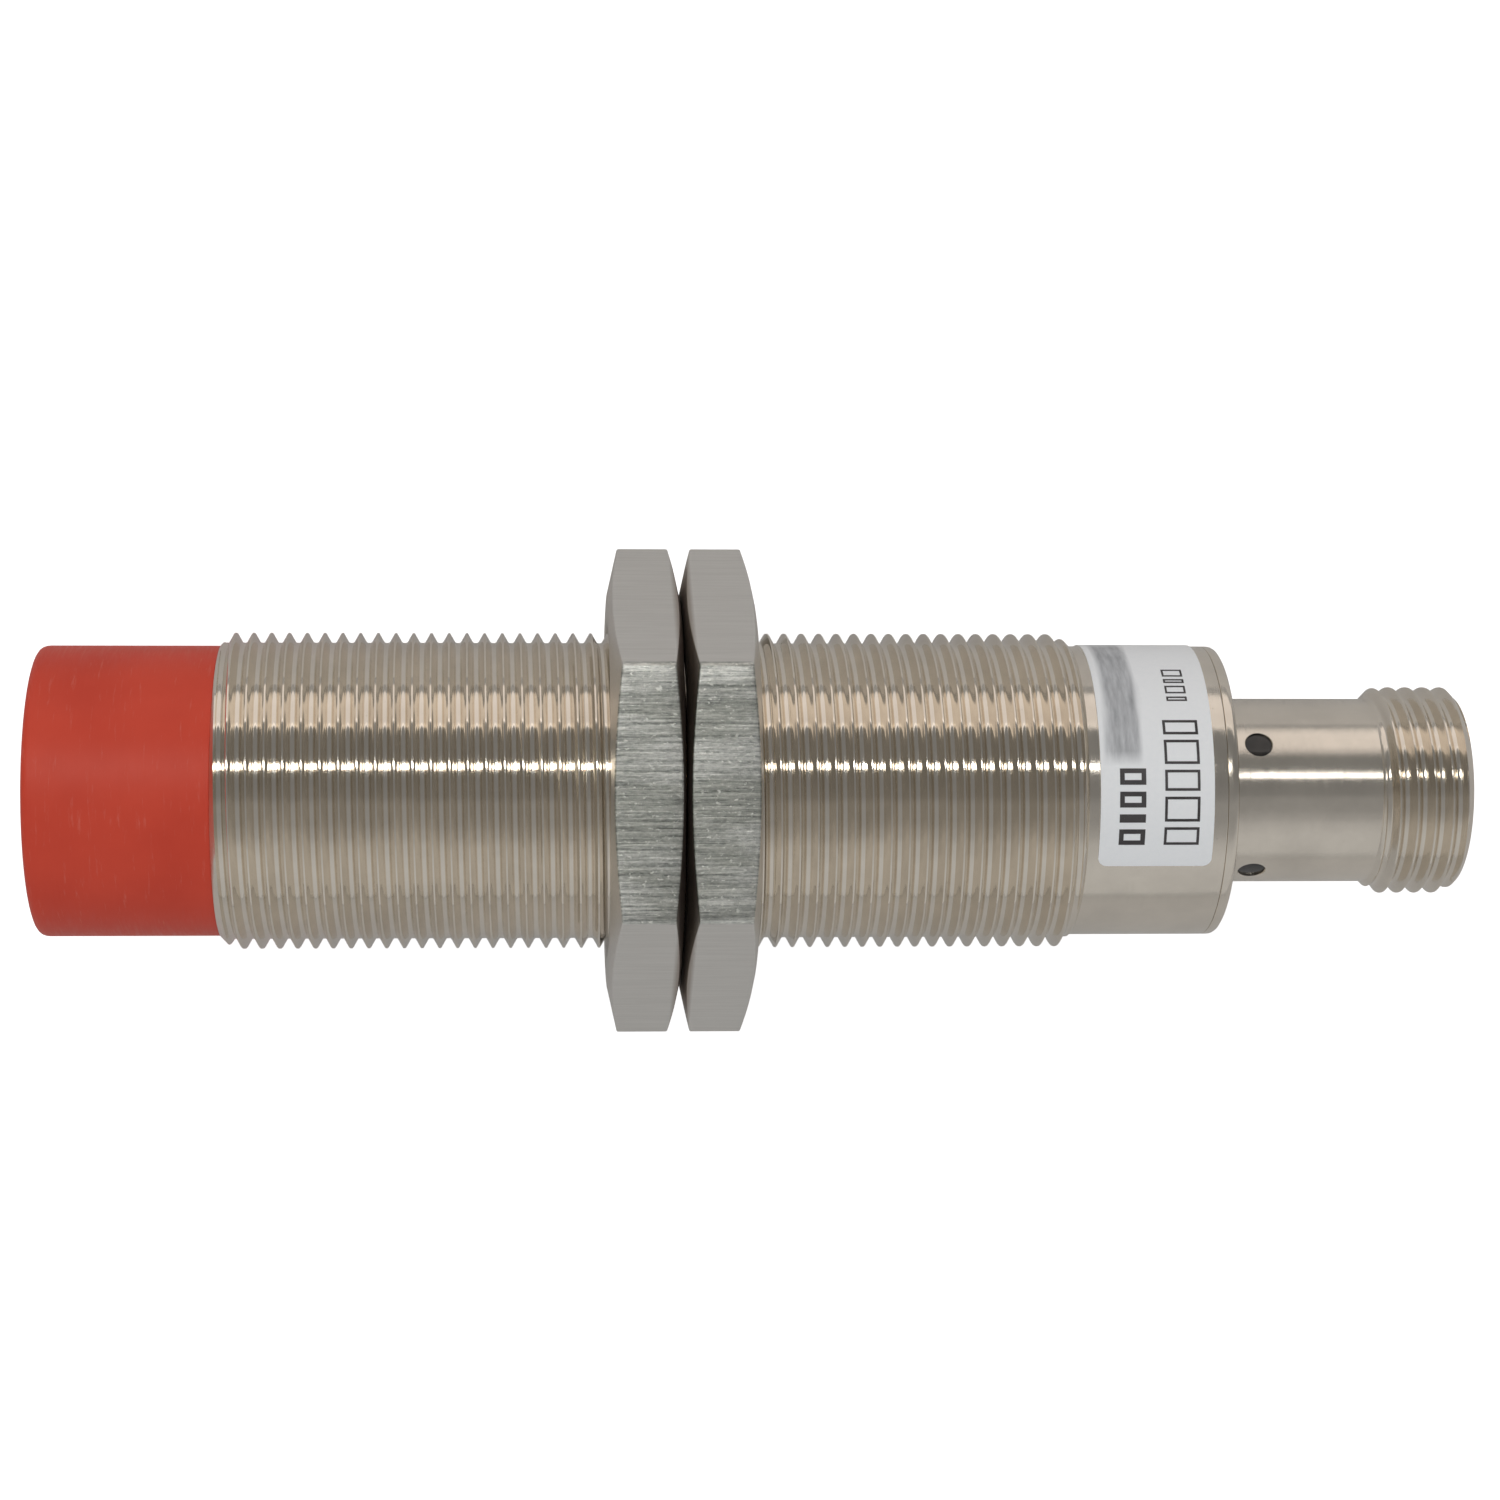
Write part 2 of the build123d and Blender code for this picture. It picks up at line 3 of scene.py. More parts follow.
import bmesh
import bpy
from mathutils import Euler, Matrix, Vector


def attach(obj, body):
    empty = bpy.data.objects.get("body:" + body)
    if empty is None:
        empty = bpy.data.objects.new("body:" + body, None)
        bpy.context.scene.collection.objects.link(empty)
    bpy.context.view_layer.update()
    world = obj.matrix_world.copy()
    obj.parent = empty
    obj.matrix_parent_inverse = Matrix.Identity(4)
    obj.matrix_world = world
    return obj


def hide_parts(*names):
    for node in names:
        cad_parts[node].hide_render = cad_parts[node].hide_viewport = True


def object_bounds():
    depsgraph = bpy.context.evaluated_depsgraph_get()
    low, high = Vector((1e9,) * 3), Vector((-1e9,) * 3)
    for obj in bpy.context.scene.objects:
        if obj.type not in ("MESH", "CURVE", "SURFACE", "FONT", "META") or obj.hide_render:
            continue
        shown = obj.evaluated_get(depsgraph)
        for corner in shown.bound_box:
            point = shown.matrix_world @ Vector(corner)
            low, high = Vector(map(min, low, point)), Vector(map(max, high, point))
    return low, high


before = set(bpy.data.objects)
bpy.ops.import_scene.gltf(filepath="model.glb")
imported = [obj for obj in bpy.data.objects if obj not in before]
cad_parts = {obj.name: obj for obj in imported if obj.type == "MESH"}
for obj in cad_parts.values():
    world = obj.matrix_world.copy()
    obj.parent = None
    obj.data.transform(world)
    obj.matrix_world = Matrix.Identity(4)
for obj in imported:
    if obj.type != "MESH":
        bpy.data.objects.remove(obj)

cad_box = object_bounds()
MM = 0.001
COLUMNS = 192
COLUMNS_PER_WINDOW = 32

# ---------------------------------------------------------------- dimensions, mm
CREST_R = 8.94
THREAD_DEPTH = 0.56
SMOOTH_R = 8.25
BARREL_BORE_R, CAP_BORE_R, CAP_BORE_END = 7.4, 7.75, 16.4
CAP_R, CAP_SPIGOT_R, CAP_SPIGOT_END = 8.2, 7.72, 16.3
CAP_INSIDE_R, CAP_FACE_THICKNESS = 6.95, 0.9
THREAD_LEAD_IN, THREAD_LEAD_R = 0.62, 8.3
BUSH_START, BUSH_R, BUSH_BORE_R, BUSH_GROOVE_R = 61.0, 7.38, 5.27, 6.55
BUSH_GROOVE = (62.6, 63.9)
SOCKET_R, SHELL_BORE_R, SOCKET_START = 4.3, 4.5, 70.0
PLUG_LEAD_IN, PLUG_END_CHAMFER = 0.675, 0.5
BARREL_START, THREAD_END, BARREL_END = 10.2, 58.2, 65.9
GROOVE_AT_Y = 10.46
PLUG_CREST_R = 5.925
PLUG_GROOVE_AT_Y = 76.37
NECK_R = 5.25
NECK_START, NECK_END, OVERALL = 66.55, 75.3, 80.4
WINDOW_X, WINDOW_R = 68.4, 0.75
WINDOW_ANGLES = (30, 120, 210, 300)
NUT_FLAT = 11.95
NUT_GAP_AT = 35.975
NUT_FACE_R = 11.2
NUT_BORE_R = 9.02
NUT_RECESS_R = 9.50
NUT_THICKNESS = 4.0
NUT_FRONT_START, NUT_REAR_START = 31.9, 36.05
NUT_CORNER_ROUND = 0.35
NUT_CHAMFER_DEGREES = 12.5
LABEL_R = 8.33
INK_GAP = 0.002


# ---------------------------------------------------------------- meshes
def make_object(name, verts_mm, faces, material, body, replaces=(), slot=None, sharp=28):
    """A mesh object in the row frame from vertices in millimetres."""
    mesh = bpy.data.meshes.new(name)
    mesh.from_pydata([tuple(c * MM for c in v) for v in verts_mm], [], faces)
    bm = bmesh.new()
    bm.from_mesh(mesh)
    bmesh.ops.remove_doubles(bm, verts=bm.verts, dist=0.5e-6)
    bmesh.ops.dissolve_degenerate(bm, edges=bm.edges, dist=0.5e-6)
    bmesh.ops.recalc_face_normals(bm, faces=bm.faces)
    bm.to_mesh(mesh)
    bm.free()
    mesh.polygons.foreach_set("use_smooth", [True] * len(mesh.polygons))
    mesh.set_sharp_from_angle(angle=math.radians(sharp))
    mesh.materials.append(material)
    obj = bpy.data.objects.new(name, mesh)
    bpy.context.scene.collection.objects.link(obj)
    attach(obj, body)
    if replaces:
        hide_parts(*replaces)
    return obj


def rounded(points, steps=4):
    """An outline of (x, r, corner radius) with every corner of a radius above 0 turned into an arc."""
    out = []
    count = len(points)
    for i, (x, r, radius) in enumerate(points):
        here = Vector((x, r))
        if not radius:
            out.append((x, r))
            continue
        before = Vector(points[i - 1][:2]) - here
        after = Vector(points[(i + 1) % count][:2]) - here
        half = before.angle(after) / 2
        reach = radius / math.tan(half)
        a = here + before.normalized() * reach
        b = here + after.normalized() * reach
        for s in range(steps + 1):
            t = s / steps
            p = a.lerp(here, t).lerp(here.lerp(b, t), t)
            out.append((p.x, p.y))
    return out


def ring_point(x, r, angle):
    """A point on a ring round the X axis. The angle runs from +Y towards +Z."""
    return (x, r * math.cos(angle), r * math.sin(angle))


def lathe(outline, closed=True, columns=COLUMNS):
    """Vertices and faces of an outline of (x, r) turned round the X axis."""
    rows = len(outline)
    verts = []
    for j in range(columns):
        angle = 2 * math.pi * j / columns
        verts += [ring_point(x, r, angle) for x, r in outline]
    faces = []
    for j in range(columns):
        k = (j + 1) % columns
        for i in range(rows if closed else rows - 1):
            n = (i + 1) % rows
            faces.append((j * rows + i, j * rows + n, k * rows + n, k * rows + i))
    return verts, faces


def join(*parts):
    """Several (vertices, faces) pairs as one."""
    verts, faces = [], []
    for v, f in parts:
        start = len(verts)
        verts += v
        faces += [tuple(i + start for i in face) for face in f]
    return verts, faces


# one pitch of the thread from a groove's middle: (share of the pitch, share of the depth)
THREAD_SHAPE = (
    (0.0, 1.0), (0.09, 1.0), (0.135, 0.96), (0.18, 0.86), (0.27, 0.57), (0.36, 0.29),
    (0.42, 0.09), (0.455, 0.01), (0.5, 0.0), (0.545, 0.01), (0.58, 0.09), (0.64, 0.29),
    (0.73, 0.57), (0.82, 0.86), (0.865, 0.96), (0.91, 1.0),
)


def helix_strip(crest, groove_at_y, envelope, columns=COLUMNS):
    """The outside of a right-handed 1 mm thread, cut off by the envelope's (x, r) corners."""
    low, high = envelope[0][0], envelope[-1][0]
    per_pitch = len(THREAD_SHAPE)
    first = groove_at_y - math.ceil(groove_at_y - low) - 1
    rows = per_pitch * (math.ceil(high - first) + 1)

    def limit(x):
        for (x0, r0), (x1, r1) in zip(envelope, envelope[1:]):
            if x <= x1:
                return r0 + (r1 - r0) * (x - x0) / (x1 - x0)
        return envelope[-1][1]

    verts = []
    for j in range(columns):
        turn = j / columns
        for i in range(rows):
            share, depth = THREAD_SHAPE[i % per_pitch]
            x = min(max(first + i // per_pitch + share + turn, low), high)
            thread_r = crest - depth * THREAD_DEPTH
            ends = x in (low, high)
            verts.append(ring_point(x, limit(x) if ends else min(thread_r, limit(x)), 2 * math.pi * turn))
    faces = []
    for j in range(columns):
        k = (j + 1) % columns
        # the last column meets the first one a pitch further along
        shift = per_pitch if k == 0 else 0
        for i in range(-shift, rows - 1):
            here, next_here = max(i, 0), max(i + 1, 0)
            there, next_there = min(i + shift, rows - 1), min(i + 1 + shift, rows - 1)
            faces.append((j * rows + here, j * rows + next_here, k * rows + next_there, k * rows + there))
    return verts, faces


# ---------------------------------------------------------------- material graphs
class Graph:
    """Short calls for building a material's nodes."""

    def __init__(self, name, **settings):
        self.material = bpy.data.materials.new(name)
        self.material.use_nodes = True
        self.tree = self.material.node_tree
        self.shader = self.tree.nodes["Principled BSDF"]
        self.set(**settings)

    def set(self, **settings):
        for key, value in settings.items():
            self.put(self.shader.inputs[key.replace("_", " ")], value)

    def put(self, socket, value):
        if isinstance(value, bpy.types.NodeSocket):
            self.tree.links.new(value, socket)
        elif hasattr(value, "__len__") and len(value) == 3 and socket.type == "RGBA":
            socket.default_value = (*value, 1)
        else:
            socket.default_value = value

    def node(self, kind, output=0, inputs=(), **props):
        n = self.tree.nodes.new(kind)
        for key, value in props.items():
            setattr(n, key, value)
        for index, value in dict(inputs).items():
            self.put(n.inputs[index], value)
        return n.outputs[output]

    def mm(self):
        """Object coordinates in millimetres."""
        coords = self.node("ShaderNodeTexCoord", "Object")
        return self.node("ShaderNodeVectorMath", inputs={0: coords, 3: 1000.0}, operation="SCALE")

    def split(self, vector):
        n = self.tree.nodes.new("ShaderNodeSeparateXYZ")
        self.tree.links.new(vector, n.inputs[0])
        return n.outputs

    def math(self, operation, a, b=0.0, c=0.0):
        return self.node("ShaderNodeMath", inputs={0: a, 1: b, 2: c}, operation=operation)

    def vector(self, x, y, z):
        return self.node("ShaderNodeCombineXYZ", inputs={0: x, 1: y, 2: z})

    def scaled(self, vector, sx, sy, sz):
        inputs = {0: vector, 1: (sx, sy, sz)}
        return self.node("ShaderNodeVectorMath", inputs=inputs, operation="MULTIPLY")

    def noise(self, vector, scale, detail=3.0, rough=0.55):
        inputs = {"Vector": vector, "Scale": scale, "Detail": detail, "Roughness": rough}
        return self.node("ShaderNodeTexNoise", "Fac", inputs)

    def band(self, value, low, high, to_low=0.0, to_high=1.0):
        """Value mapped from low..high to to_low..to_high, and held at the ends."""
        return self.node("ShaderNodeMapRange", 0, {0: value, 1: low, 2: high, 3: to_low, 4: to_high})

    def mix(self, factor, a, b, blend="MIX"):
        n = self.tree.nodes.new("ShaderNodeMix")
        n.data_type = "RGBA"
        n.blend_type = blend
        self.put(n.inputs[0], factor)
        self.put(n.inputs[6], a)
        self.put(n.inputs[7], b)
        return n.outputs[2]

    def bump(self, height, strength, distance_mm, normal=None):
        inputs = {"Strength": strength, "Distance": distance_mm * MM, "Height": height}
        if normal is not None:
            inputs["Normal"] = normal
        return self.node("ShaderNodeBump", 0, inputs)

    def cylinder(self, vector):
        """(x in mm, angle in radians, radius in mm) of a point, measured round the X axis."""
        x, y, z = self.split(vector)
        angle = self.math("ARCTAN2", z, y)
        radius = self.math("SQRT", self.math("ADD", self.math("MULTIPLY", y, y), self.math("MULTIPLY", z, z)))
        return x, angle, radius


def turned_nickel(name, warm):
    """Nickel plating over turned brass: bright on the barrel's thread, satin with turning marks behind it."""
    g = Graph(name, Metallic=1.0)
    p = g.mm()
    x, angle, radius = g.cylinder(p)
    satin = g.band(x, THREAD_END - 0.3, THREAD_END + 0.1)
    past_step = g.band(x, NECK_START, NECK_START + 0.1)
    neck = g.math("MULTIPLY", past_step, g.band(x, NECK_END, NECK_END + 0.3, 1.0, 0.0))
    ring = g.noise(g.vector(x, 0.0, g.math("MULTIPLY", radius, 0.4)), 12.0, 4.0, 0.7)
    mark = g.noise(g.vector(x, g.math("MULTIPLY", angle, 0.25), 0.0), 3.2, 3.0, 0.6)
    fine = g.noise(g.scaled(p, 6.0, 0.35, 0.35), 2.2, 4.0, 0.65)
    cloud = g.noise(p, 0.35, 4.0, 0.6)
    speck = g.noise(p, 9.0, 2.0, 0.5)
    base = g.mix(g.band(cloud, 0.35, 0.7), warm, tuple(c * 0.90 for c in warm))
    base = g.mix(g.band(speck, 0.68, 0.78, 0.0, 0.3), base, (0.36, 0.29, 0.21))
    bright_rough = g.band(cloud, 0.3, 0.7, 0.075, 0.11)
    satin_rough = g.band(mark, 0.35, 0.65, 0.10, 0.17)
    rough = g.math("ADD", g.math("MULTIPLY", bright_rough, g.math("SUBTRACT", 1.0, satin)),
                   g.math("MULTIPLY", satin_rough, satin))
    ring_strength = g.math("ADD", g.band(satin, 0.0, 1.0, 0.01, 0.05), g.math("MULTIPLY", neck, 0.13))
    turned = g.bump(ring, ring_strength, 0.17)
    g.set(
        Base_Color=base,
        Roughness=rough,
        Normal=g.bump(fine, g.band(satin, 0.0, 1.0, 0.0, 0.05), 0.01, turned),
    )
    return g.material


def nut_nickel():
    """Satin nickel: drawn smooth on the sides, and scored along X on the worn flats that face up and down."""
    g = Graph("nut_nickel", Metallic=1.0)
    p = g.mm()
    x, _, z = g.split(p)
    streak = g.noise(g.scaled(p, 0.12, 3.2, 3.2), 1.6, 5.0, 0.7)
    score = g.noise(g.scaled(p, 0.10, 3.0, 1.0), 1.5, 6.0, 0.8)
    chatter = g.noise(g.scaled(p, 1.3, 3.0, 1.0), 2.4, 3.0, 0.7)
    patch = g.noise(g.scaled(p, 0.15, 0.55, 0.3), 1.0, 2.0, 0.5)
    fleck = g.noise(g.scaled(p, 1.0, 1.7, 1.0), 2.6, 2.0, 0.6)
    grain = g.noise(p, 5.5, 3.0, 0.7)
    worn = g.band(g.math("ABSOLUTE", z), NUT_FLAT - 0.3, NUT_FLAT - 0.08)
    smooth = g.mix(g.band(streak, 0.35, 0.65), (0.74, 0.72, 0.68), (0.80, 0.78, 0.74))
    depth = g.math("ADD", g.math("MULTIPLY", score, 0.72), g.math("MULTIPLY", chatter, 0.28))
    scored = g.mix(g.band(depth, 0.40, 0.62), (0.31, 0.32, 0.30), (1.0, 1.0, 0.94))
    scored = g.mix(g.band(patch, 0.42, 0.58, 0.0, 0.7), scored, (0.60, 0.61, 0.58), "MULTIPLY")
    scored = g.mix(g.band(fleck, 0.60, 0.70, 0.0, 0.75), scored, (1.0, 1.0, 0.93))
    score_height = g.math("MULTIPLY", depth, g.band(worn, 0, 1, 0.0, 1.3))
    height = g.math("ADD", g.math("MULTIPLY", streak, 0.4), score_height)
    base = g.mix(worn, smooth, scored)
    # painted shade: the two chamfers that face each other across the gap between the nuts are darkened to a
    # warm brown, standing in for the shadow there
    gap = g.band(g.math("ABSOLUTE", g.math("SUBTRACT", x, NUT_GAP_AT)), 0.35, 0.60, 0.62, 0.0)
    g.set(
        Base_Color=g.mix(g.math("MULTIPLY", gap, g.math("SUBTRACT", 1.0, worn)), base, (0.27, 0.20, 0.15)),
        Roughness=g.band(worn, 0.0, 1.0, 0.38, 0.34),
        Normal=g.bump(g.math("ADD", height, g.math("MULTIPLY", grain, 0.08)), 0.55, 0.035),
    )
    return g.material


def cap_red():
    """Satin red moulding, finely turned, with pale scuffs that run round it."""
    g = Graph("cap_red", Roughness=0.4)
    g.shader.inputs["Specular IOR Level"].default_value = 0.32
    p = g.mm()
    x, _, radius = g.cylinder(p)
    ring = g.noise(g.vector(x, g.math("MULTIPLY", radius, 0.7), 0.0), 9.0, 4.0, 0.7)
    scuff = g.noise(g.scaled(p, 2.6, 0.25, 0.25), 1.6, 5.0, 0.75)
    cloud = g.noise(p, 0.22, 3.0, 0.5)
    base = g.mix(g.band(cloud, 0.3, 0.7), (0.69, 0.066, 0.032), (0.62, 0.052, 0.024))
    base = g.mix(g.band(scuff, 0.58, 0.75, 0.0, 0.30), base, (0.80, 0.33, 0.26))
    g.set(
        Base_Color=base,
        Roughness=g.band(scuff, 0.3, 0.75, 0.34, 0.55),
        Normal=g.bump(ring, 0.22, 0.015, g.bump(scuff, 0.12, 0.01)),
    )
    return g.material


def label_film():
    """White film with a smeared grey band where the print is rubbed away."""
    g = Graph("label_film")
    g.shader.inputs["Specular IOR Level"].default_value = 0.5
    p = g.mm()
    x, angle, _ = g.cylinder(p)
    wander = g.noise(g.vector(angle, x, 0.0), 1.4, 2.0, 0.5)
    middle = g.math("ADD", 60.15, g.math("MULTIPLY", g.math("SUBTRACT", wander, 0.5), 0.7))
    off = g.math("ABSOLUTE", g.math("SUBTRACT", x, middle))
    across = g.band(off, 0.65, 1.15, 1.0, 0.0)
    # round the barrel the band starts past the printed column and fades over the far side
    along = g.math("MULTIPLY", g.band(angle, 1.30, 1.40, 1.0, 0.0), g.band(angle, -0.15, 0.25, 0.0, 1.0))
    smear = g.noise(g.vector(g.math("MULTIPLY", x, 3.0), g.math("MULTIPLY", angle, 4.0), 0.0), 0.9, 4.0, 0.6)
    amount = g.math("MULTIPLY", g.math("MULTIPLY", across, along), g.band(smear, 0.3, 0.7, 0.5, 0.95))
    paper = g.noise(p, 4.0, 3.0, 0.6)
    base = g.mix(g.band(paper, 0.3, 0.7), (0.90, 0.925, 0.95), (0.93, 0.95, 0.97))
    g.set(
        Base_Color=g.mix(amount, base, (0.30, 0.31, 0.33)),
        Roughness=g.band(paper, 0.3, 0.7, 0.42, 0.55),
        Normal=g.bump(paper, 0.06, 0.01),
    )
    return g.material


def plain(name, color, rough, metallic=0.0, grain=6.0, spread=0.12, bump=0.1, ior=1.5, alt=None, alt_at=None):
    """A moulded, cast or plated finish: fine grain, slow colour drift, uneven gloss."""
    g = Graph(name, Metallic=metallic)
    g.shader.inputs["IOR"].default_value = ior
    p = g.mm()
    fine = g.noise(p, grain, 3.0, 0.6)
    slow = g.noise(p, 0.5, 3.0, 0.5)
    dark = tuple(max(0.0, c * (1 - spread)) for c in color)
    light = tuple(min(1.0, c * (1 + spread)) for c in color)
    base = g.mix(g.band(slow, 0.3, 0.7), dark, light)
    if alt:
        base = g.mix(g.band(g.noise(p, alt_at[0], 2.0, 0.5), alt_at[1], alt_at[1] + 0.04), base, alt)
    g.set(
        Base_Color=base,
        Roughness=g.band(fine, 0.3, 0.7, max(0.03, rough - 0.06), min(1.0, rough + 0.08)),
        Normal=g.bump(fine, bump, 0.02),
    )
    return g.material


def smoked_window():
    g = Graph("smoked_window", Roughness=0.12, Transmission_Weight=0.25)
    g.shader.inputs["IOR"].default_value = 1.52
    g.shader.inputs["Coat Weight"].default_value = 0.2
    g.shader.inputs["Coat Roughness"].default_value = 0.08
    p = g.mm()
    flow = g.noise(p, 1.6, 3.0, 0.6)
    g.set(
        Base_Color=g.mix(g.band(flow, 0.35, 0.7), (0.012, 0.011, 0.010), (0.035, 0.030, 0.026)),
        Normal=g.bump(flow, 0.25, 0.04),
    )
    return g.material


def board_laminate():
    """Green solder mask over copper tracks that run along the board."""
    g = Graph("board_laminate")
    p = g.mm()
    _, y, _ = g.split(p)
    wander = g.math("MULTIPLY", g.noise(g.scaled(p, 0.1, 0.2, 0.0), 0.6, 1.0, 0.4), 3.0)
    lane = g.math("FRACT", g.math("MULTIPLY", g.math("ADD", y, wander), 1.4))
    track = g.math("MULTIPLY", g.band(lane, 0.30, 0.36), g.band(lane, 0.58, 0.64, 1.0, 0.0))
    weave = g.noise(p, 7.0, 2.0, 0.5)
    base = g.mix(track, (0.020, 0.17, 0.065), (0.035, 0.26, 0.10))
    g.set(Base_Color=base, Roughness=g.band(weave, 0.3, 0.7, 0.28, 0.4), Normal=g.bump(track, 0.3, 0.03))
    return g.material


def wound_copper():
    g = Graph("wound_copper", Metallic=1.0)
    p = g.mm()
    x, _, _ = g.cylinder(p)
    turns = g.math("SINE", g.math("MULTIPLY", x, 21.0))
    tone = g.noise(p, 2.0, 3.0, 0.6)
    g.set(
        Base_Color=g.mix(g.band(tone, 0.3, 0.7), (0.62, 0.24, 0.09), (0.78, 0.38, 0.17)),
        Roughness=g.band(tone, 0.3, 0.7, 0.25, 0.4),
        Normal=g.bump(turns, 0.5, 0.05),
    )
    return g.material


nickel = turned_nickel("turned_nickel", (0.83, 0.765, 0.67))
nut_metal = nut_nickel()
red = cap_red()
film = label_film()
ink = plain("label_ink", (0.055, 0.05, 0.052), 0.5, grain=12.0, spread=0.4, bump=0.05)
window = smoked_window()
moulded_black = plain("moulded_black", (0.018, 0.018, 0.019), 0.42, grain=8.0, spread=0.25)
gold = plain("gold_plate", (0.86, 0.60, 0.24), 0.2, metallic=1.0, grain=10.0, spread=0.08, bump=0.06)
seal = plain("seal_rubber", (0.012, 0.012, 0.012), 0.62, grain=11.0, spread=0.3, bump=0.3)

TINNED = (0.6, 0.6, 0.58)
INNER_MATERIALS = {
    "ferrite_core": plain("ferrite", (0.045, 0.045, 0.05), 0.7, grain=14.0, spread=0.3, bump=0.5),
    "coil_bobbin": plain("bobbin_plastic", (0.62, 0.54, 0.38), 0.45, grain=5.0),
    "coil_winding": wound_copper(),
    "coil_lead_start": plain("lead_enamel_a", (0.60, 0.22, 0.08), 0.3, metallic=1.0),
    "coil_lead_end": plain("lead_enamel_b", (0.55, 0.26, 0.10), 0.3, metallic=1.0),
    "circuit_board": board_laminate(),
    "oscillator_chip": plain("chip_epoxy", (0.025, 0.025, 0.028), 0.55, grain=16.0, bump=0.35),
    "comparator_chip": plain("chip_epoxy_b", (0.030, 0.030, 0.031), 0.5, grain=16.0, bump=0.35),
    "voltage_regulator": plain("chip_epoxy_c", (0.022, 0.022, 0.025), 0.5, grain=16.0, bump=0.35),
    "output_transistor": plain("chip_epoxy_d", (0.028, 0.027, 0.027), 0.5, grain=14.0, bump=0.3),
    "tantalum_capacitor": plain("tantalum_case", (0.62, 0.40, 0.07), 0.45, grain=9.0),
    "protection_diodes": plain("diode_case", (0.024, 0.024, 0.024), 0.5, grain=12.0),
    "smd_resistors": plain("resistor_film", (0.03, 0.03, 0.035), 0.4, alt=TINNED, alt_at=(0.9, 0.6)),
    "smd_capacitors": plain("ceramic_tan", (0.45, 0.33, 0.20), 0.45, alt=TINNED, alt_at=(0.9, 0.6)),
    "status_leds": plain("led_resin", (0.80, 0.66, 0.25), 0.15, grain=4.0),
    "hookup_wire_brown": plain("wire_brown", (0.12, 0.05, 0.025), 0.38, grain=7.0),
    "hookup_wire_white": plain("wire_white", (0.75, 0.74, 0.70), 0.38, grain=7.0),
    "hookup_wire_blue": plain("wire_blue", (0.02, 0.07, 0.38), 0.38, grain=7.0),
    "hookup_wire_black": plain("wire_black", (0.012, 0.012, 0.012), 0.38, grain=7.0),
    "insulating_sleeve": plain("sleeve_film", (0.62, 0.42, 0.16), 0.25, grain=3.0),
    "potting_compound": plain("cast_resin", (0.07, 0.055, 0.04), 0.3, grain=2.0, spread=0.3),
    "shell_o_ring": seal,
    "carrier_o_ring": seal,
    "pin_carrier": moulded_black,
    "coding_key": moulded_black,
    "contact_pin_1": gold,
    "contact_pin_2": gold,
    "contact_pin_3": gold,
    "contact_pin_4": gold,
    "light_guide": window,
    "label": film,
}
for node_name, node_material in INNER_MATERIALS.items():
    node_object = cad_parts[node_name]
    node_object.data.materials.clear()
    node_object.data.materials.append(node_material)

# ---------------------------------------------------------------- barrel
barrel_thread = helix_strip(
    CREST_R, GROOVE_AT_Y,
    [(BARREL_START, THREAD_LEAD_R), (BARREL_START + THREAD_LEAD_IN, CREST_R),
     (THREAD_END - THREAD_LEAD_IN, CREST_R), (THREAD_END, SMOOTH_R)],
)
barrel_rest = lathe(
    [(THREAD_END, SMOOTH_R), (THREAD_END + 0.04, SMOOTH_R)]
    + [(x, SMOOTH_R) for x in (60.0, 62.0, 64.0)]
    + rounded([
        (BARREL_END - 0.1, SMOOTH_R, 0), (BARREL_END, SMOOTH_R, 0.09), (BARREL_END, BARREL_BORE_R, 0),
    ])[1:]
    + [(CAP_BORE_END, BARREL_BORE_R), (CAP_BORE_END, CAP_BORE_R)]
    + [(BARREL_START, CAP_BORE_R), (BARREL_START, THREAD_LEAD_R)],
    closed=False,
)
make_object("barrel", *join(barrel_thread, barrel_rest), nickel, "sensor", ("housing",), "nickel_barrel")

# ---------------------------------------------------------------- front cap
cap_outline = rounded([
    (0.0, 0.0, 0), (0.0, 4.0, 0), (0.0, CAP_R, 0.6), (5.0, CAP_R, 0),
    (BARREL_START, CAP_R, 0.06), (BARREL_START, CAP_SPIGOT_R, 0),
    (CAP_SPIGOT_END, CAP_SPIGOT_R, 0.2), (CAP_SPIGOT_END, CAP_INSIDE_R, 0.1),
    (CAP_FACE_THICKNESS, CAP_INSIDE_R, 0.2), (CAP_FACE_THICKNESS, 0.0, 0),
], steps=6)
make_object("red_cap", *lathe(cap_outline, closed=False), red, "sensor", ("front_cap",), "red_plastic")


# ---------------------------------------------------------------- nuts
def hex_radius(angle):
    """Distance from the axis to the side of the hexagon, with its corners rounded. Corners point along Y."""
    off = (angle + math.pi / 6) % (math.pi / 3) - math.pi / 6
    centre = (NUT_FLAT - NUT_CORNER_ROUND) / math.cos(math.pi / 6)
    touch = math.atan2(NUT_CORNER_ROUND * 0.5, centre + NUT_CORNER_ROUND * math.cos(math.pi / 6))
    if abs(off) < touch:
        return centre * math.cos(off) + math.sqrt(NUT_CORNER_ROUND ** 2 - (centre * math.sin(off)) ** 2)
    return NUT_FLAT / math.cos(math.pi / 6 - abs(off))


